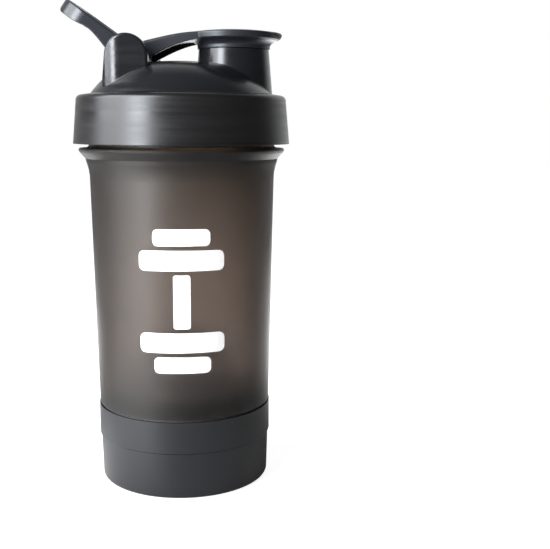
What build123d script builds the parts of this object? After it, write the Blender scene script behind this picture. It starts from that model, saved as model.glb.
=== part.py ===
from build123d import *
from math import asin, atan2, cos, hypot, radians, sin
import os

# Protein shaker bottle, in millimetres.
# +Z is up along the bottle's axis and the origin is where that axis meets the surface it stands on.
# The spout is on the +X side, the hinge of the flip cap and the carry loop on the -X side,
# and the printed mark faces -Y.

# Storage jar: the lowest section, a cup whose thicker mouth band screws on to the bottle's base
jar_foot_r = 39.8  # outside radius at the foot
jar_side_r = 40.35  # outside radius just under the band
band_r = 41.0
band_bottom = 21.3
jar_height = 36.2
jar_mouth_r = 38.6
jar_floor = 2.2
foot_ring_inner_r = 34.0
foot_recess = 0.7

# Bottle cup: a tapered translucent wall between a screw boss below and a screw neck above
boss_bottom = 27.8
boss_r = 36.6
boss_bore_r = 34.5
cup_base = jar_height + 0.9  # underside of the shoulder, with the base seal between
cup_base_r = 40.6
cup_floor = 30.1
cup_top_r = 42.85
cup_top = 143.5  # where the taper ends and the collar begins to flare
cup_wall = 1.9
collar_crease = (44.6, 152.2)  # radius and height of the crease under the collar
collar_r = 47.7
collar_top = 156.9
neck_r = 43.0
neck_bore_r = 41.2
neck_bore_foot = 157.0
cup_rim = 175.4

# Lid: a screw cap with a domed top that carries the spout and the two hinge ears
lid_bottom = 158.9
lid_bottom_r = 50.0
lid_top_r = 48.1
lid_corner = 180.5
lid_bore_bottom_r = 47.3
lid_bore_top_r = 46.4
lid_ceiling = 177.6  # underside of the shoulder, where the lid seal sits
plug_ring_r = 40.6  # outside of the ring that reaches into the cup's mouth
plug_ring_bottom = 170.8
dome_r = 41.6
dome_base = 181.5
dome_knee = (26.0, 193.9)  # where the flat crown turns into the steeper side
dome_side = (34.9, 188.6)  # on the side, between the knee and the base
dome_top = 196.3
dome_wall = 2.2

# Spout, on the lid
spout_x = 24.2
spout_top = 201.4
spout_top_r = 16.1
spout_base_r = 17.8
spout_bore_r = 14.1
spout_bore_base_r = 15.1

# Hinge shared by the flip cap and the carry loop, its axis along Y
hinge_x = -21.9
hinge_z = 197.7
ear_z = 197.0  # centre of the ears' rounding
ear_r = 9.65
ear_outer_y = 27.0
ear_inner_y = 21.6
ear_foot_z = 180.6
ear_back_foot_x = -33.6
ear_corner_x = -24.5  # where the outer face starts to turn round to the back
ear_back_y = 19.4  # centre of that turn
pin_r = 2.0
pin_near_end = 24.9  # inside the blind bore of the ear on the -Y side
pin_far_end = 26.7  # just inside the face of the ear on the +Y side
pin_play = 0.06  # radial clearance of the parts that turn on the pin
knuckle_r = 4.8
pocket_floor = 192.2  # the dome is cut down to this between the ears
pocket_reach = 6.6  # how far in front of the axis the pocket reaches

# Flip cap: an arm from the hinge to a disc that closes the spout
knuckle_half = 15.1
arm_half_width = 14.8
rib_inner_y = 12.8
rib_edge = ((8.0, 205.0), (-3.6, 201.6), (-13.4, 196.8), (-18.4, 194.2))  # lower edge of the ribs, x and z
web_underside = ((6.0, 205.6), (-1.5, 204.6), (-8.2, 203.0), (-14.8, 200.7))
disc_r = 21.5
disc_top = 210.2
disc_rim_top = 208.5
disc_rim_bottom = 205.9
disc_neck_r = 16.6
disc_bottom = spout_top + 0.1
lip_x = spout_x + 5.4  # centre of the thumb lip's rounding
lip_r = 17.3
stud_r = 8.0
stud_length = 6.4
plug_bottom = 193.0
plug_bead_r = spout_bore_r - 0.05

# Carry loop: a closed handle, leaning back from the hinge
loop_lean = 35.4  # degrees above the horizontal
loop_length = 37.4
loop_outer_y = 21.1
loop_inner_y = 15.6
loop_hole_end = 30.8  # how far from the axis the opening reaches
loop_top = 4.5  # height of its upper face over the hinge axis, across the loop
loop_end_bottom = -1.75
loop_end = 9.0  # length of the thicker end
loop_waist = (21.6, -0.65)
loop_corner_r = 13.0
loop_hole_corner_r = 7.8

# Screw threads: (lead, number of starts, turns of each ridge)
lid_lead = 10.0
lid_starts = 2
lid_turns = 0.78
base_lead = 6.0
base_starts = 2
base_turns = 0.5

# Wire whisk ball, loose in the cup
ball_r = 20.0  # to the middle of the wire
wire_r = 1.1
ball_weave = 0.6  # the upright hoops pass this far inside and outside the level ones
ball_hoop_joint = 37  # degrees round from +X to where each level hoop closes
ball_z = cup_floor + ball_r + ball_weave + wire_r + 0.3
ball_hoops = (-52, -26, 0, 26, 52)  # latitudes of the level hoops

# Printed mark on the front: a pictogram of a dumbbell on end
mark_angle = 3.9  # degrees that it is turned towards the spout
mark_z = 91.2
ink = 0.15


spout_plane = Plane(origin=(spout_x, 0, 0), x_dir=(1, 0, 0), z_dir=(0, -1, 0))
spout_axis = Axis((spout_x, 0, 0), (0, 0, 1))
lip_plane = Plane(origin=(lip_x, 0, 0), x_dir=(1, 0, 0), z_dir=(0, -1, 0))
lip_axis = Axis((lip_x, 0, 0), (0, 0, 1))
back_edge = atan2(ear_z - ear_foot_z, hinge_x - ear_back_foot_x) + asin(
    ear_r / hypot(ear_z - ear_foot_z, hinge_x - ear_back_foot_x)
)
ear_back_top = (hinge_x - ear_r * sin(back_edge), ear_z + ear_r * cos(back_edge))
lean = radians(loop_lean)
loop_side_plane = Plane(origin=(hinge_x, 0, hinge_z), x_dir=(-cos(lean), 0, sin(lean)), z_dir=(0, 1, 0))
loop_plan_plane = Plane(loop_side_plane.origin, loop_side_plane.x_dir, loop_side_plane.y_dir)


def slope_r(z):
    """Outside radius of the tapered cup wall at height z."""
    return cup_base_r + (cup_top_r - cup_base_r) * (z - cup_base) / (cup_top - cup_base)


def thread_ridge(root_r, rise, lead, turns, start_z, start_angle, root_width, crest_width):
    """One helical ridge from start_z upwards. A negative rise points inwards."""
    bury = -0.3 if rise > 0 else 0.3
    with BuildPart() as ridge:
        with BuildLine() as path:
            Helix(pitch=lead, height=lead * turns, radius=root_r, center=(0, 0, start_z))
        with BuildSketch(Plane(origin=path.line @ 0, x_dir=(1, 0, 0), z_dir=path.line % 0)):
            with BuildLine():
                Polyline(
                    (bury, -root_width / 2),
                    (0, -root_width / 2),
                    (rise, -crest_width / 2),
                    (rise, crest_width / 2),
                    (0, root_width / 2),
                    (bury, root_width / 2),
                    close=True,
                )
            make_face()
        sweep(is_frenet=True)
    return ridge.part.rotate(Axis.Z, start_angle)


def ridges(starts, **shape):
    """The ridges of one thread, evenly spaced round the axis."""
    first = shape.pop("first_angle")
    return [thread_ridge(start_angle=first + k * 360 / starts, **shape) for k in range(starts)]


os.makedirs("parts", exist_ok=True)

# --- Threads. The lid's ridges lie just under the neck's, and the jar's just over the boss's. ---
neck_thread = ridges(
    lid_starts, root_r=neck_r, rise=2.5, lead=lid_lead, turns=lid_turns, start_z=163.9,
    first_angle=0, root_width=2.6, crest_width=1.2,
)
lid_thread = ridges(
    lid_starts, root_r=47.0, rise=-2.5, lead=lid_lead, turns=lid_turns, start_z=161.6,
    first_angle=0, root_width=2.4, crest_width=1.2,
)
boss_thread = ridges(
    base_starts, root_r=boss_r, rise=1.5, lead=base_lead, turns=base_turns, start_z=29.8,
    first_angle=0, root_width=1.5, crest_width=0.7,
)
jar_thread = ridges(
    base_starts, root_r=jar_mouth_r, rise=-1.3, lead=base_lead, turns=base_turns, start_z=31.35,
    first_angle=0, root_width=1.4, crest_width=0.7,
)

# --- Storage jar ---
with BuildPart() as storage_jar:
    with BuildSketch(Plane.XZ) as jar_profile:
        with BuildLine():
            Polyline(
                (0, foot_recess),
                (foot_ring_inner_r, foot_recess),
                (foot_ring_inner_r + 0.7, 0),
                (jar_foot_r, 0),
                (jar_side_r, band_bottom),
                (band_r, band_bottom + 0.5),
                (band_r, jar_height),
                (jar_mouth_r, jar_height),
                (jar_mouth_r - 0.6, jar_floor),
                (0, jar_floor),
                close=True,
            )
        make_face()
        corner = jar_profile.vertices().sort_by_distance
        fillet(corner((jar_foot_r, 0))[0], 1.8)
        fillet(corner((band_r, jar_height))[0], 0.9)
        fillet(corner((jar_mouth_r, jar_height))[0], 0.4)
        fillet(corner((jar_mouth_r - 0.6, jar_floor))[0], 4.0)
    revolve(axis=Axis.Z)
    add(jar_thread)
storage_jar.part.label = "storage_jar"

# --- Base seal: the flat ring between the jar's rim and the cup's shoulder ---
with BuildPart() as base_seal:
    with BuildSketch(Plane.XY.offset(jar_height + 0.05)):
        Circle(band_r - 1.1)
        Circle(boss_r + 0.1, mode=Mode.SUBTRACT)
    extrude(amount=cup_base - jar_height - 0.1)
base_seal.part.label = "base_seal"

# --- Bottle cup ---
with BuildPart() as bottle_cup:
    with BuildSketch(Plane.XZ) as cup_profile:
        with BuildLine():
            Polyline((0, boss_bottom), (boss_r, boss_bottom), (boss_r, cup_base), (cup_base_r, cup_base))
            Line((cup_base_r, cup_base), (cup_top_r, cup_top))
            flare = TangentArc((cup_top_r, cup_top), (44.2, collar_crease[1] - 1.8), tangent=(0.03, 1))
            Line(flare @ 1, collar_crease)
            Line(collar_crease, (collar_r - 0.6, collar_top - 1.9))
            Line((collar_r - 0.6, collar_top - 1.9), (collar_r, collar_top - 0.9))
            Polyline(
                (collar_r, collar_top - 0.9),
                (collar_r - 0.5, collar_top),
                (neck_r + 1.2, collar_top),
                (neck_r, collar_top + 1.0),
                (neck_r, cup_rim),
                (neck_bore_r, cup_rim),
                (neck_bore_r, neck_bore_foot),
                (cup_top_r - cup_wall, cup_top),
                (slope_r(45.2) - cup_wall, 45.2),
                (boss_bore_r, cup_floor + 6.1),
                (boss_bore_r - 0.4, cup_floor),
                (0, cup_floor),
                (0, boss_bottom),
            )
        make_face()
        corner = cup_profile.vertices().sort_by_distance
        fillet(corner((boss_r, boss_bottom))[0], 1.2)
        fillet(corner((cup_base_r, cup_base))[0], 1.4)
        fillet(corner((neck_r, cup_rim))[0], 0.7)
        fillet(corner((neck_bore_r, cup_rim))[0], 0.6)
        fillet(corner((slope_r(45.2) - cup_wall, 45.2))[0], 8.0)
        fillet(corner((boss_bore_r, cup_floor + 6.1))[0], 5.0)
        fillet(corner((boss_bore_r - 0.4, cup_floor))[0], 4.0)
    revolve(axis=Axis.Z)
    add(neck_thread)
    add(boss_thread)
bottle_cup.part.label = "bottle_cup"

# --- Printed mark: an ink layer that follows the cup's taper ---
with BuildPart() as front_mark:
    with BuildSketch(Plane.XZ.rotated((0, 0, mark_angle))):
        with Locations((0, mark_z)):
            RectangleRounded(7.5, 24, 1.2)
        for side in (-1, 1):
            with Locations((0, mark_z + side * 18.3)):
                RectangleRounded(37, 9, 2.6)
            with Locations((0, mark_z + side * 28.4)):
                RectangleRounded(25, 7.4, 2.4)
    extrude(amount=cup_top_r + 5)
    with BuildSketch(Plane.XZ) as ink_layer:
        with BuildLine():
            low, high = cup_base + 5, cup_top - 5
            Polyline(
                (slope_r(low), low),
                (slope_r(low) + ink, low),
                (slope_r(high) + ink, high),
                (slope_r(high), high),
                close=True,
            )
        make_face()
    revolve(axis=Axis.Z, mode=Mode.INTERSECT)
front_mark.part.label = "front_mark"

# --- Lid seal: the ring that the cup's rim presses up against the lid's ceiling ---
with BuildPart() as lid_seal:
    with BuildSketch(Plane.XY.offset(cup_rim + 0.05)):
        Circle(45.0)
        Circle(plug_ring_r + 0.2, mode=Mode.SUBTRACT)
    extrude(amount=lid_ceiling - cup_rim - 0.1)
lid_seal.part.label = "lid_seal"

# --- Lid ---
with BuildPart() as dome_core:
    with BuildSketch(Plane.XZ) as dome_profile:
        with BuildLine():
            TangentArc((0, dome_top), dome_knee, tangent=(1, 0))
            ThreePointArc(dome_knee, dome_side, (dome_r, dome_base))
            Polyline((dome_r, dome_base), (dome_r, lid_ceiling), (0, lid_ceiling), (0, dome_top))
        make_face()
        fillet(dome_profile.vertices().sort_by_distance(dome_knee)[0], 12.0)
    revolve(axis=Axis.Z)

with BuildPart() as dome_void:
    with BuildSketch(Plane.XZ):
        with BuildLine():
            crown = TangentArc(
                (0, dome_top - dome_wall), (dome_knee[0] - 1.0, dome_knee[1] - dome_wall), tangent=(1, 0)
            )
            TangentArc(crown @ 1, (plug_ring_r - 1.4, lid_ceiling + 1.5), tangent=crown % 1)
            Polyline(
                (plug_ring_r - 1.4, lid_ceiling + 1.5),
                (plug_ring_r - 1.4, plug_ring_bottom),
                (0, plug_ring_bottom),
                (0, dome_top - dome_wall),
            )
        make_face()
    revolve(axis=Axis.Z)

with BuildPart() as hinge_tray:
    with BuildSketch(Plane.XY.offset(pocket_floor - dome_wall)):
        with Locations((hinge_x + 1, 0)):
            Rectangle(36, 2 * ear_outer_y)
    extrude(amount=20)
    add(dome_core.part, mode=Mode.INTERSECT)

with BuildPart() as ears:
    with BuildSketch(Plane.XZ.offset(-ear_outer_y)):
        with BuildLine():
            RadiusArc((hinge_x, ear_z + ear_r), (hinge_x + ear_r, ear_z), ear_r)
            RadiusArc(ear_back_top, (hinge_x, ear_z + ear_r), ear_r)
            Polyline(
                (hinge_x + ear_r, ear_z),
                (hinge_x + ear_r, ear_foot_z),
                (ear_back_foot_x, ear_foot_z),
                ear_back_top,
            )
        make_face()
    extrude(amount=2 * ear_outer_y)
    with BuildSketch(Plane.XY.offset(170)) as ear_plan:
        for side in (-1, 1):
            with Locations((ear_corner_x, side * ear_back_y)):
                Ellipse(ear_corner_x - ear_back_foot_x, ear_outer_y - ear_back_y)
            with Locations((ear_corner_x / 2, side * (ear_outer_y + ear_back_y) / 2)):
                Rectangle(-ear_corner_x, ear_outer_y - ear_back_y)
        Rectangle(120, 2 * ear_inner_y, mode=Mode.SUBTRACT)
    extrude(amount=60, mode=Mode.INTERSECT)
    for face_y, rounding in ((ear_outer_y, 1.2), (ear_inner_y, 0.5)):
        for side in (-1, 1):
            rims = ears.edges().filter_by_position(Axis.Y, side * face_y - 0.01, side * face_y + 0.01)
            fillet(rims.filter_by_position(Axis.Z, 198, 210), rounding)
    add(dome_void.part, mode=Mode.SUBTRACT)

with BuildPart() as lid:
    with BuildSketch(Plane.XZ) as lid_profile:
        with BuildLine():
            Polyline(
                (lid_bore_bottom_r, lid_bottom),
                (lid_bottom_r, lid_bottom),
                (lid_top_r, lid_corner),
                (dome_r, dome_base),
                (dome_r - 10, dome_base),
                (dome_r - 10, lid_ceiling + 1.5),
                (plug_ring_r - 1.4, lid_ceiling + 1.5),
                (plug_ring_r - 1.2, plug_ring_bottom),
                (plug_ring_r - 0.4, plug_ring_bottom),
                (plug_ring_r, plug_ring_bottom + 1.2),
                (plug_ring_r, lid_ceiling),
                (lid_bore_top_r, lid_ceiling),
                close=True,
            )
        make_face()
        corner = lid_profile.vertices().sort_by_distance
        fillet(corner((lid_top_r, lid_corner))[0], 2.4)
        fillet(corner((lid_bottom_r, lid_bottom))[0], 0.6)
    revolve(axis=Axis.Z)
    add(dome_core.part)
    with BuildSketch(Plane(origin=(spout_x, 0, dome_base - 0.4))):
        Circle(spout_base_r)
    with BuildSketch(Plane(origin=(spout_x, 0, spout_top))):
        Circle(spout_top_r)
    loft()
    add(dome_void.part, mode=Mode.SUBTRACT)
    add(hinge_tray.part)
    with BuildSketch(Plane.XY.offset(pocket_floor)):
        with Locations((hinge_x - 12, 0)):
            Rectangle(24 + 2 * pocket_reach, 2 * ear_inner_y)
    extrude(amount=20, mode=Mode.SUBTRACT)
    add(ears.part)
    with BuildSketch(Plane(origin=(spout_x, 0, dome_base - 0.9))):
        Circle(spout_bore_base_r)
    with BuildSketch(Plane(origin=(spout_x, 0, spout_top))):
        Circle(spout_bore_r)
    loft(mode=Mode.SUBTRACT)
    add(lid_thread)
    with BuildSketch(Plane.XZ.offset(-ear_outer_y - 1)):
        with Locations((hinge_x, hinge_z)):
            Circle(pin_r)
    extrude(amount=ear_outer_y + 1 + pin_near_end, mode=Mode.SUBTRACT)
lid.part.label = "lid"

# --- Hinge pin: pressed in from the far ear, and hidden by the near one ---
with BuildPart() as hinge_pin:
    with BuildSketch(Plane.XZ.offset(-pin_far_end)):
        with Locations((hinge_x, hinge_z)):
            Circle(pin_r)
    extrude(amount=pin_far_end + pin_near_end)
    chamfer(hinge_pin.edges(), 0.3)
hinge_pin.part.label = "hinge_pin"

# --- Flip cap ---
with BuildPart() as flip_cap:
    with BuildSketch(Plane.XZ.offset(-arm_half_width)):
        with BuildLine():
            top = Spline(
                (hinge_x, hinge_z + knuckle_r), (-12, 205.1), (2, 207.9), (12, 208.7),
                tangents=[(1, 0.3), (1, 0.05)],
            )
            Polyline(top @ 1, (12, 205.4), rib_edge[0])
            under = Spline(*rib_edge)
            Polyline(under @ 1, (hinge_x, hinge_z), top @ 0)
        make_face()
    extrude(amount=2 * arm_half_width)
    fillet(flip_cap.edges().filter_by(GeomType.BSPLINE).filter_by_position(Axis.Z, 205.5, 210), 1.1)
    with BuildSketch(Plane.XZ.offset(-rib_inner_y)):
        with BuildLine():
            ceiling = Spline(*web_underside)
            Polyline(ceiling @ 1, (web_underside[-1][0], 190), (web_underside[0][0], 190), ceiling @ 0)
        make_face()
    extrude(amount=2 * rib_inner_y, mode=Mode.SUBTRACT)
    with BuildSketch(Plane.XZ.offset(-knuckle_half)):
        with Locations((hinge_x, hinge_z)):
            Circle(knuckle_r)
    extrude(amount=2 * knuckle_half)
    with BuildSketch(spout_plane) as disc_profile:
        with BuildLine():
            crown = TangentArc((0, disc_top), (disc_r - 0.3, disc_rim_top), tangent=(1, 0))
            Line(crown @ 1, (disc_r - 0.5, disc_rim_bottom))
            Line((disc_r - 0.5, disc_rim_bottom), (disc_r - 1.6, disc_rim_bottom - 0.7))
            ThreePointArc(
                (disc_r - 1.6, disc_rim_bottom - 0.7),
                (disc_neck_r + 1.1, disc_bottom + 2.9),
                (disc_neck_r, disc_bottom + 1.5),
            )
            Polyline(
                (disc_neck_r, disc_bottom + 1.5), (disc_neck_r, disc_bottom), (0, disc_bottom), crown @ 0
            )
        make_face()
        rim = disc_profile.vertices().sort_by_distance
        fillet(rim((disc_r - 0.3, disc_rim_top))[0], 0.8)
        fillet(rim((disc_r - 0.5, disc_rim_bottom))[0], 0.6)
    revolve(axis=spout_axis)
    with BuildSketch(lip_plane) as lip_profile:
        with BuildLine():
            Polyline(
                (0, disc_rim_top + 0.7),
                (lip_r, disc_rim_top + 0.1),
                (lip_r - 1.3, disc_rim_bottom + 0.4),
                (lip_r - 2.6, disc_rim_bottom - 0.5),
                (0, disc_rim_bottom - 1.3),
                close=True,
            )
        make_face()
        rim = lip_profile.vertices().sort_by_distance
        fillet(rim((lip_r, disc_rim_top + 0.1))[0], 0.9)
        fillet(rim((lip_r - 1.3, disc_rim_bottom + 0.4))[0], 0.8)
    revolve(axis=lip_axis)
    with BuildSketch(Plane(origin=(spout_x, 0, disc_bottom))):
        Circle(stud_r)
    extrude(amount=-stud_length)
    with BuildSketch(Plane.XZ.offset(-knuckle_half)):
        with Locations((hinge_x, hinge_z)):
            Circle(pin_r + pin_play)
    extrude(amount=2 * knuckle_half, mode=Mode.SUBTRACT)
flip_cap.part.label = "flip_cap"

# --- Spout plug: a soft hollow stopper pushed on to the cap's stud ---
with BuildPart() as spout_plug:
    with BuildSketch(spout_plane) as plug_profile:
        with BuildLine():
            Polyline(
                (stud_r, disc_bottom),
                (plug_bead_r - 0.6, disc_bottom),
                (plug_bead_r - 0.5, disc_bottom - 2.6),
                (plug_bead_r, disc_bottom - 4.2),
                (plug_bead_r - 0.9, plug_bottom + 0.8),
                (plug_bead_r - 2.0, plug_bottom),
                (0, plug_bottom),
                (0, disc_bottom - stud_length),
                (stud_r, disc_bottom - stud_length),
                close=True,
            )
        make_face()
        fillet(plug_profile.vertices().sort_by_distance((plug_bead_r, disc_bottom - 4.2))[0], 1.2)
    revolve(axis=spout_axis)
spout_plug.part.label = "spout_plug"

# --- Carry loop: a side profile cut to a closed U in plan ---
with BuildPart() as carry_loop:
    with BuildSketch(loop_side_plane) as loop_side:
        with BuildLine():
            Line((0, loop_top), (loop_length, loop_top))
            Line((loop_length, loop_top), (loop_length, loop_end_bottom))
            Line((loop_length, loop_end_bottom), (loop_length - loop_end, loop_end_bottom))
            Spline(
                (loop_length - loop_end, loop_end_bottom), loop_waist, (11, -2.7), (2, -4.4),
                tangents=[(-1, 0.06), (-1, -0.1)],
            )
            Polyline((2, -4.4), (0, -4.4), (0, loop_top))
        make_face()
        nose = loop_side.vertices().sort_by_distance
        chamfer(nose((loop_length, loop_top))[0], 1.6)
        fillet(nose((loop_length, loop_end_bottom))[0], 3.2)
    extrude(amount=loop_outer_y, both=True)
    with BuildSketch(loop_plan_plane) as loop_plan:
        with Locations((loop_length / 2 - 5, 0)):
            Rectangle(loop_length + 10, 2 * loop_outer_y)
        for side in (-1, 1):
            fillet(loop_plan.vertices().sort_by_distance((99, side * 99))[0], loop_corner_r)
    extrude(amount=20, both=True, mode=Mode.INTERSECT)
    with BuildSketch(loop_plan_plane) as loop_hole:
        with Locations((loop_hole_end / 2 - 5, 0)):
            Rectangle(loop_hole_end + 10, 2 * loop_inner_y)
        for side in (-1, 1):
            fillet(loop_hole.vertices().sort_by_distance((99, side * 99))[0], loop_hole_corner_r)
    extrude(amount=20, both=True, mode=Mode.SUBTRACT)
    upper_face = carry_loop.faces().sort_by(Axis(loop_plan_plane.origin, loop_plan_plane.z_dir))[-1]
    fillet(upper_face.edges(), 0.8)
    with BuildSketch(Plane.XZ.offset(-loop_outer_y)):
        with Locations((hinge_x, hinge_z)):
            Circle(knuckle_r)
    extrude(amount=2 * loop_outer_y)
    with BuildSketch(Plane.XZ.offset(-loop_inner_y)):
        with Locations((hinge_x, hinge_z)):
            Circle(knuckle_r + 1)
    extrude(amount=2 * loop_inner_y, mode=Mode.SUBTRACT)
    with BuildSketch(Plane.XZ.offset(-loop_outer_y)):
        with Locations((hinge_x, hinge_z)):
            Circle(pin_r + pin_play)
    extrude(amount=2 * loop_outer_y, mode=Mode.SUBTRACT)
carry_loop.part.label = "carry_loop"

# --- Whisk ball: two upright wire hoops, one just inside the level hoops and one just outside ---
with BuildPart() as whisk_ball:
    for turn, radius in ((0, ball_r - ball_weave), (90, ball_r + ball_weave)):
        across = Vector(1, 0, 0).rotate(Axis.Z, turn)
        with BuildSketch(Plane(origin=(0, 0, ball_z), x_dir=across, z_dir=(0, 0, 1))):
            with Locations((radius, 0)):
                Circle(wire_r)
        revolve(axis=Axis((0, 0, ball_z), across.rotate(Axis.Z, 90)))
    for latitude in ball_hoops:
        height = ball_z + ball_r * sin(radians(latitude))
        with BuildSketch(Plane.XZ.rotated((0, 0, ball_hoop_joint))):
            with Locations((ball_r * cos(radians(latitude)), height)):
                Circle(wire_r)
        revolve(axis=Axis.Z)
whisk_ball.part.label = "whisk_ball"

pieces = (
    storage_jar, base_seal, bottle_cup, front_mark, lid_seal, lid,
    hinge_pin, flip_cap, spout_plug, carry_loop, whisk_ball,
)
for piece in pieces:
    export_step(piece.part, f"parts/{piece.part.label}.step")
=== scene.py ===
from math import radians

import bpy
from mathutils import Euler, Matrix, Vector

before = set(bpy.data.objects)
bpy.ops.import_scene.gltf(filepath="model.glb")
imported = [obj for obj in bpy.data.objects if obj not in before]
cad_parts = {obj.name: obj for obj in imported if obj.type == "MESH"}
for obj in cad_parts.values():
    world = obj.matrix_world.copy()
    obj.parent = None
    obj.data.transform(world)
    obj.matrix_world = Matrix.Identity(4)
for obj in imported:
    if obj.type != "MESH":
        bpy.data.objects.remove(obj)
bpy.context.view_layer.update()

scene = bpy.context.scene
scene.view_settings.view_transform = "Standard"

WHITE = (1, 1, 1, 1)

# Places and lengths are in metres, apart from the camera's sensor and lens, which are in millimetres.

# ---------------------------------------------------------------- node graphs


class Graph:
    """A node tree, with short calls for the nodes used here."""

    def __init__(self, tree):
        self.tree = tree

    def node(self, kind, **values):
        made = self.tree.nodes.new("ShaderNode" + kind)
        for key, value in values.items():
            setattr(made, key, value)
        return made

    def join(self, a, b):
        self.tree.links.new(a, b)

    def axes(self, coordinates):
        """The X, Y and Z outputs of one kind of texture coordinate."""
        split = self.node("SeparateXYZ")
        self.join(self.node("TexCoord").outputs[coordinates], split.inputs[0])
        return split.outputs

    def maths(self, operation, a, b=None):
        made = self.node("Math", operation=operation)
        self.join(a, made.inputs[0])
        if b is not None:
            self.join(b, made.inputs[1])
        return made.outputs[0]

    def ramp(self, value, low, high, first, last, curve="LINEAR"):
        """A value that goes from first to last as another goes from low to high."""
        made = self.node("MapRange", interpolation_type=curve)
        for key, number in zip(("From Min", "From Max", "To Min", "To Max"), (low, high, first, last)):
            made.inputs[key].default_value = number
        self.join(value, made.inputs["Value"])
        return made.outputs[0]

    def soft_ramp(self, value, low, high, first, last):
        return self.ramp(value, low, high, first, last, "SMOOTHSTEP")


class Material(Graph):
    """A material's node tree, with its Principled shader."""

    def __init__(self, name):
        self.material = bpy.data.materials.new(name)
        self.material.use_nodes = True
        super().__init__(self.material.node_tree)
        self.shader = self.tree.nodes["Principled BSDF"]

    def set(self, **values):
        for key, value in values.items():
            self.shader.inputs[key.replace("_", " ")].default_value = value

    def noise(self, scale, detail=3.0, stretch=(1, 1, 1), rough=0.55):
        mapping = self.node("Mapping")
        mapping.inputs["Scale"].default_value = stretch
        self.join(self.node("TexCoord").outputs["Object"], mapping.inputs["Vector"])
        made = self.node("TexNoise")
        made.inputs["Scale"].default_value = scale
        made.inputs["Detail"].default_value = detail
        made.inputs["Roughness"].default_value = rough
        self.join(mapping.outputs[0], made.inputs["Vector"])
        return made.outputs["Fac"]

    def spread(self, noise, low, high):
        """Noise stretched over its usual range, 0.3 to 0.7, and mapped to run from low to high."""
        return self.ramp(noise, 0.3, 0.7, low, high)

    def by_height(self, band, first, last):
        """A value that goes from first to last over a band of the object's height."""
        return self.ramp(self.axes("Object")["Z"], *band, first, last)

    def blend(self, factor, first, second):
        """A mix of two colours, each a triple or another node's output."""
        made = self.node("Mix", data_type="RGBA")
        for socket, colour in ((made.inputs["A"], first), (made.inputs["B"], second)):
            if isinstance(colour, tuple):
                socket.default_value = (*colour, 1)
            else:
                self.join(colour, socket)
        self.join(factor, made.inputs["Factor"])
        return made.outputs["Result"]

    def cloud(self, noise, dark, light):
        return self.blend(self.spread(noise, 0, 1), dark, light)

    def colour(self, colour):
        self.join(colour, self.shader.inputs["Base Color"])

    def roughness(self, value):
        self.join(value, self.shader.inputs["Roughness"])

    def bump(self, height, strength, depth, round_edges=0.0):
        made = self.node("Bump")
        if round_edges:
            bevel = self.node("Bevel", samples=6)
            bevel.inputs["Radius"].default_value = round_edges
            self.join(bevel.outputs[0], made.inputs["Normal"])
        made.inputs["Strength"].default_value = strength
        made.inputs["Distance"].default_value = depth
        self.join(height, made.inputs["Height"])
        self.join(made.outputs[0], self.shader.inputs["Normal"])


# ---------------------------------------------------------------- materials

SPARK_GRAIN = 2600  # noise scale of the grain that a spark-eroded mould leaves
FINE_DEPTH = 0.00003
FROSTED_DEPTH = 0.00005
RUBBER_DEPTH = 0.00006
HARD_PLASTIC_IOR = 1.49
CUP_IOR = 1.45

LID_SHOULDER = (0.1795, 0.1835)  # where the lid's side turns into its dome
# The cup's colour changes with height as painted light and shade: lighter over CUP_FOOT, darker over
# CUP_TOP, darkest above CUP_NECK.
CUP_FOOT = (0.045, 0.085)
CUP_TOP = (0.105, 0.150)
CUP_NECK = (0.1566, 0.1576)  # where the cup goes up inside the lid; above it the cup's colour is painted near black as shade under the lid


def moulded_plastic(name, dark, light, rough, grain=0.05, round_edges=0.0, gleam=(1, 1, 1)):
    """Injection-moulded plastic: cloudy tone and gloss, and a fine spark-eroded grain."""
    made = Material(name)
    made.colour(made.cloud(made.noise(35, 2), dark, light))
    made.roughness(made.spread(made.noise(28, 3), *rough))
    made.bump(made.noise(SPARK_GRAIN, 2), grain, FINE_DEPTH, round_edges)
    made.set(IOR=HARD_PLASTIC_IOR, Specular_Tint=(*gleam, 1))
    return made.material


def slate_jar():
    return moulded_plastic("slate_jar_plastic", (0.006, 0.0068, 0.0095), (0.0085, 0.0095, 0.0125),
                           rough=(0.33, 0.37))


def black_cap():
    return moulded_plastic("black_cap_plastic", (0.013, 0.0145, 0.019), (0.017, 0.0185, 0.0235),
                           rough=(0.34, 0.40), grain=0.03, round_edges=0.0006, gleam=(0.86, 0.92, 1.0))


def black_loop():
    return moulded_plastic("black_loop_plastic", (0.010, 0.011, 0.0145), (0.014, 0.015, 0.019),
                           rough=(0.24, 0.29), grain=0.03, round_edges=0.0008, gleam=(0.88, 0.93, 1.0))


def black_lid():
    """The lid's side is satin with faint level streaks; its dome, ears and spout are glossier."""
    made = Material("black_lid_plastic")
    streaks = made.noise(30, 5, stretch=(0.25, 0.25, 9.0), rough=0.7)
    side = made.cloud(streaks, (0.0055, 0.0052, 0.0055), (0.0095, 0.009, 0.0095))
    dome = (0.0080, 0.0083, 0.0100)
    made.colour(made.blend(made.by_height(LID_SHOULDER, 0, 1), side, dome))
    satin_to_gloss = made.by_height(LID_SHOULDER, 0.335, 0.22)
    made.roughness(made.maths("ADD", satin_to_gloss, made.spread(streaks, -0.08, 0.08)))
    made.bump(made.noise(SPARK_GRAIN, 2), 0.05, FINE_DEPTH, round_edges=0.0005)
    made.set(IOR=HARD_PLASTIC_IOR, Specular_Tint=(0.90, 0.94, 1.0, 1))
    return made.material


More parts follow.
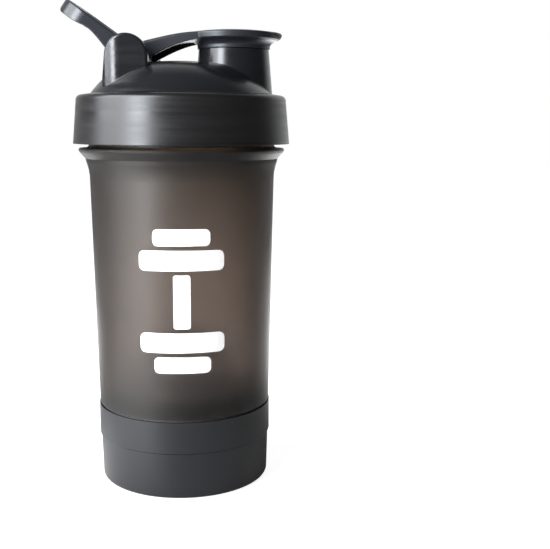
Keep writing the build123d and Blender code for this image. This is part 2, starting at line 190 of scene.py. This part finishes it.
def smoke_cup():
    """Frosted smoke polypropylene: what light leaks through it comes out warmer and dimmer. Its colour is
    painted lighter at the foot, with painted shade towards the top and on the neck under the lid.
    """
    made = Material("smoke_cup_plastic")
    # painted light: the foot is painted lighter than the middle
    lit_foot = (0.52, 0.50, 0.50)
    middle = made.cloud(made.noise(40, 3), (0.36, 0.335, 0.32), (0.42, 0.39, 0.375))
    # painted shade: the top, where the lid keeps out the light from behind, is painted darker
    shaded_top = (0.245, 0.226, 0.212)
    # painted shade: the neck inside the lid is painted near black
    shaded_neck = (0.14, 0.132, 0.128)
    wall = made.blend(made.by_height(CUP_FOOT, 0, 1), lit_foot, middle)
    wall = made.blend(made.by_height(CUP_TOP, 0, 1), wall, shaded_top)
    made.colour(made.blend(made.by_height(CUP_NECK, 0, 1), wall, shaded_neck))
    made.roughness(made.spread(made.noise(30, 3), 0.42, 0.48))
    made.bump(made.noise(SPARK_GRAIN, 2), 0.08, FROSTED_DEPTH)
    made.set(IOR=CUP_IOR, Transmission_Weight=1.0)
    smoke = made.node("VolumeAbsorption")
    smoke.inputs["Color"].default_value = (0.35, 0.24, 0.15, 1)
    smoke.inputs["Density"].default_value = 400.0
    made.join(smoke.outputs[0], made.tree.nodes["Material Output"].inputs["Volume"])
    return made.material


def white_ink():
    """Opaque screen print, slightly uneven."""
    made = Material("white_print_ink")
    made.colour(made.cloud(made.noise(900, 4), (0.86, 0.86, 0.86), (0.93, 0.93, 0.93)))
    made.roughness(made.spread(made.noise(700, 3), 0.35, 0.5))
    made.bump(made.noise(3000, 2), 0.08, FINE_DEPTH)
    return made.material


def steel(name, stretch):
    """Bright steel; a stretch below 1 along an axis draws its marks out into ground lines."""
    made = Material(name)
    marks = made.noise(900, 4, stretch)
    made.colour(made.cloud(marks, (0.50, 0.50, 0.52), (0.68, 0.68, 0.70)))
    made.roughness(made.spread(marks, 0.18, 0.34))
    made.bump(marks, 0.1, FINE_DEPTH)
    made.set(Metallic=1.0)
    return made.material


def rubber(name, tone):
    """Dull moulded rubber, with patches a third lighter than its tone."""
    made = Material(name)
    made.colour(made.cloud(made.noise(300, 4), tone, tuple(1.35 * channel for channel in tone)))
    made.roughness(made.spread(made.noise(500, 3), 0.55, 0.72))
    made.bump(made.noise(2000, 3), 0.15, RUBBER_DEPTH)
    return made.material


def dress_nodes():
    """Gives every CAD node its material. The shapes are all the CAD model's own."""
    seal_tone = (0.03, 0.03, 0.033)
    materials = {
        "bottle_cup": smoke_cup(),
        "storage_jar": slate_jar(),
        "lid": black_lid(),
        "flip_cap": black_cap(),
        "carry_loop": black_loop(),
        "front_mark": white_ink(),
        "hinge_pin": steel("ground_pin_steel", (1, 0.05, 1)),
        "whisk_ball": steel("whisk_wire_steel", (1, 1, 1)),
        "lid_seal": rubber("lid_seal_rubber", seal_tone),
        "base_seal": rubber("base_seal_rubber", seal_tone),
        "spout_plug": rubber("plug_elastomer", (0.02, 0.02, 0.023)),
    }
    for node, material in materials.items():
        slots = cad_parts[node].data.materials
        slots.clear()
        slots.append(material)


# ---------------------------------------------------------------- camera, floor and light

EYE = Vector((0.03895, -0.43638, 0.16811))
PITCH_DOWN = radians(9.68)
ROLL = radians(0.21)
SENSOR_WIDTH = 36.0
LENS = 60.48
SHIFT = (0.0181, 0.0124)
FAR_CLIP = 50.0

WALL_EDGE = (0.25, 0.75)  # the white wall fades in between these values of a direction's Y
WALL_BRIGHT = 1.0
ROOM_DIM = 0.13
LEFT_EDGE = (-0.8, 0.1)  # and the room rises from its darker left between these values of its X
LEFT_DIM = 0.45
SEEN_WHITE = 1.0

FLOOR_HALF = 3.0
FLOOR_DROP = 0.0002  # keeps the floor clear of the foot's own face
FLOOR_GREY = (0.4, 0.4, 0.4, 1)
FLOOR_ROUGH = 0.9
FLOOR_GLOW = 0.88
BACK_BOARD = 4.0
BOARD_START = (0.06, 0.30)  # how far behind the object the board fades in
BOARD_SIDE = (0.12, 0.40)  # how far out to each side it fades away
LEFT_SHEET = 1.0
SHEET_PLACE = (-0.11, -0.05, 0)
SHEET_EDGE = (0.05, 0.12)  # the radii between which the sheet fades away


def add_camera():
    data = bpy.data.cameras.new("camera")
    data.sensor_width = SENSOR_WIDTH
    data.lens = LENS
    data.shift_x, data.shift_y = SHIFT
    data.clip_end = FAR_CLIP
    camera = bpy.data.objects.new("camera", data)
    scene.collection.objects.link(camera)
    aim = Euler((radians(90) - PITCH_DOWN, 0, 0)).to_matrix() @ Matrix.Rotation(ROLL, 3, "Z")
    camera.matrix_world = Matrix.Translation(EYE) @ aim.to_4x4()
    scene.camera = camera


def add_world():
    """A dim room, darker on the left, and a white wall behind; the camera sees plain white."""
    world = bpy.data.worlds.new("studio")
    world.use_nodes = True
    world.node_tree.nodes.clear()
    graph = Graph(world.node_tree)
    axes = graph.axes("Generated")
    wall = graph.soft_ramp(axes["Y"], *WALL_EDGE, ROOM_DIM, WALL_BRIGHT)
    side = graph.soft_ramp(axes["X"], *LEFT_EDGE, LEFT_DIM, 1.0)
    room = graph.node("Background")
    graph.join(graph.maths("MULTIPLY", wall, side), room.inputs["Strength"])
    seen = graph.node("Background")
    seen.inputs["Strength"].default_value = SEEN_WHITE
    for background in (room, seen):
        background.inputs["Color"].default_value = WHITE
    mix = graph.node("MixShader")
    graph.join(graph.node("LightPath").outputs["Is Camera Ray"], mix.inputs[0])
    graph.join(room.outputs[0], mix.inputs[1])
    graph.join(seen.outputs[0], mix.inputs[2])
    graph.join(mix.outputs[0], graph.node("OutputWorld").inputs[0])
    scene.world = world


def floor_material():
    """Plain white to the camera. The object also gets light from a board behind it and a sheet on its left.

    Both are patches of the floor that glow only where the camera doesn't see them."""
    made = Material("floor_white")
    axes = made.axes("Object")
    behind = made.soft_ramp(axes["Y"], *BOARD_START, 0.0, BACK_BOARD)
    centred = made.soft_ramp(made.maths("ABSOLUTE", axes["X"]), *BOARD_SIDE, 1.0, 0.0)
    distance = made.node("VectorMath", operation="DISTANCE")
    made.join(made.node("TexCoord").outputs["Object"], distance.inputs[0])
    distance.inputs[1].default_value = SHEET_PLACE
    sheet = made.soft_ramp(distance.outputs["Value"], *SHEET_EDGE, LEFT_SHEET, 0.0)
    board = made.maths("ADD", made.maths("MULTIPLY", behind, centred), sheet)
    to_camera = made.node("LightPath").outputs["Is Camera Ray"]
    seen = made.soft_ramp(to_camera, 0.0, 1.0, 0.0, FLOOR_GLOW)
    unseen = made.maths("MULTIPLY", made.soft_ramp(to_camera, 0.0, 1.0, 1.0, 0.0), board)
    made.set(Base_Color=FLOOR_GREY, Roughness=FLOOR_ROUGH, Emission_Color=WHITE)
    made.join(made.maths("ADD", seen, unseen), made.shader.inputs["Emission Strength"])
    return made.material


def add_floor():
    corners = [(x * FLOOR_HALF, y * FLOOR_HALF, 0) for x, y in ((-1, -1), (1, -1), (1, 1), (-1, 1))]
    mesh = bpy.data.meshes.new("floor")
    mesh.from_pydata(corners, [], [(0, 1, 2, 3)])
    mesh.materials.append(floor_material())
    floor = bpy.data.objects.new("floor", mesh)
    floor.location.z = -FLOOR_DROP
    scene.collection.objects.link(floor)


def add_area(name, place, target, size, power):
    """A white rectangular light that the camera doesn't see."""
    data = bpy.data.lights.new(name, "AREA")
    data.shape = "RECTANGLE"
    data.size, data.size_y = size
    data.energy = power
    light = bpy.data.objects.new(name, data)
    light.location = place
    light.rotation_euler = (Vector(target) - Vector(place)).to_track_quat("-Z", "Y").to_euler()
    light.visible_camera = False
    scene.collection.objects.link(light)


dress_nodes()
add_camera()
add_world()
add_floor()
add_area("key_left", place=(-0.78, -0.45, 0.62), target=(0, 0, 0.20), size=(1.25, 0.9), power=32.0)
add_area("key_core", place=(-0.53, -0.62, 0.30), target=(0, 0, 0.13), size=(0.24, 0.8), power=9.0)
add_area("low_board", place=(-0.20, -0.12, 0.004), target=(-0.10, -0.06, 0.3), size=(0.25, 0.35),
         power=1.0)
